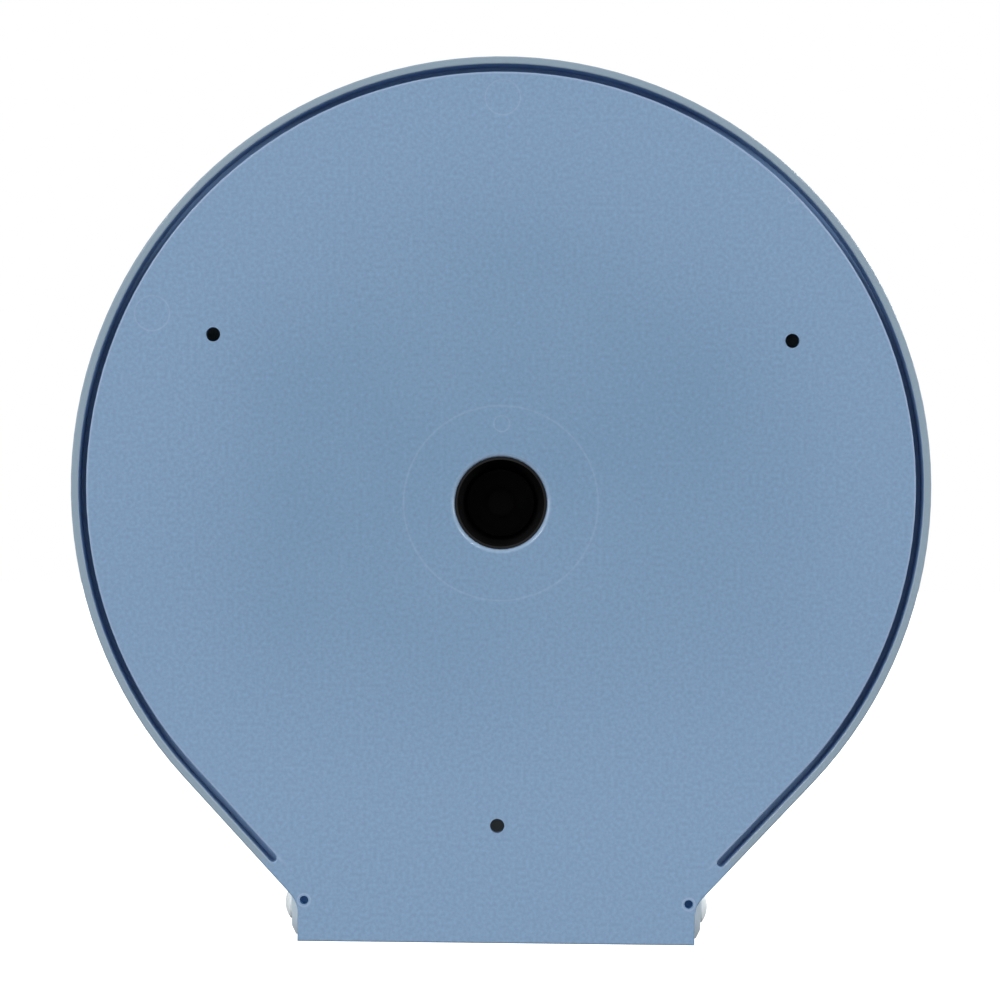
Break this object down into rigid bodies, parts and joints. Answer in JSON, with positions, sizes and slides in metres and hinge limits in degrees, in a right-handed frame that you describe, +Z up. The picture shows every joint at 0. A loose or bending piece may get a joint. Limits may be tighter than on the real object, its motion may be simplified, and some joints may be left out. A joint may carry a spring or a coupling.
{
  "type": "jumbo toilet roll dispenser",
  "caption": "Wall dispenser for one jumbo toilet roll: round moulded plate with a square neck, finned spindle, and a hinged drum-shaped cover with a lock and toothed tear edges.",
  "frame": {"origin": "on the wall plane, on the axis of the roll's spindle", "axes": "+Y into the wall, -Y out into the room, +Z up, +X to the right of somebody who faces the wall"},
  "size_m": [0.26, 0.1338, 0.27],
  "materials": {
    "plate_plastic": "satin moulded",
    "cover_plastic": "polished moulded, opal",
    "spindle_plastic": "satin moulded",
    "pin_nylon": "natural nylon",
    "spring_steel": "bright rolled",
    "zinc_steel": "zinc plated",
    "lock_chrome": "polished chrome plate"
  },
  "bodies": {
    "wall_frame": {"backplate": "plate_plastic", "spindle_post": "spindle_plastic", "post_screws": "zinc_steel", "brake_washer": "spring_steel", "spindle_cap": "spindle_plastic", "cap_screw": "zinc_steel", "hinge_pin_left": "pin_nylon", "hinge_pin_right": "pin_nylon"},
    "cover": {"cover_shell": "cover_plastic", "lock_case": "lock_chrome", "lock_nut": "lock_chrome", "tear_blade_left": "spring_steel", "tear_blade_right": "spring_steel", "blade_rivets": "zinc_steel"},
    "roll_carrier": {"core_holder": "spindle_plastic", "core_spacer": "spindle_plastic"},
    "lock_turner": {"lock_plug": "lock_chrome", "lock_cam": "zinc_steel", "cam_washer": "zinc_steel", "cam_screw": "zinc_steel"}
  },
  "joints": [
    {"name": "cover_hinge", "type": "hinge", "parent": "wall_frame", "child": "cover", "pos_m": [0, -0.028, -0.12397], "axis": [1, 0, 0], "range_deg": [0, 90]},
    {"name": "roll_spin", "type": "hinge", "parent": "wall_frame", "child": "roll_carrier", "pos_m": [0, -0.05, 0], "axis": [0, 1, 0], "continuous": true},
    {"name": "lock_turn", "type": "hinge", "parent": "cover", "child": "lock_turner", "pos_m": [0, -0.027, 0.13], "axis": [0, 0, -1], "range_deg": [0, 90]}
  ]
}
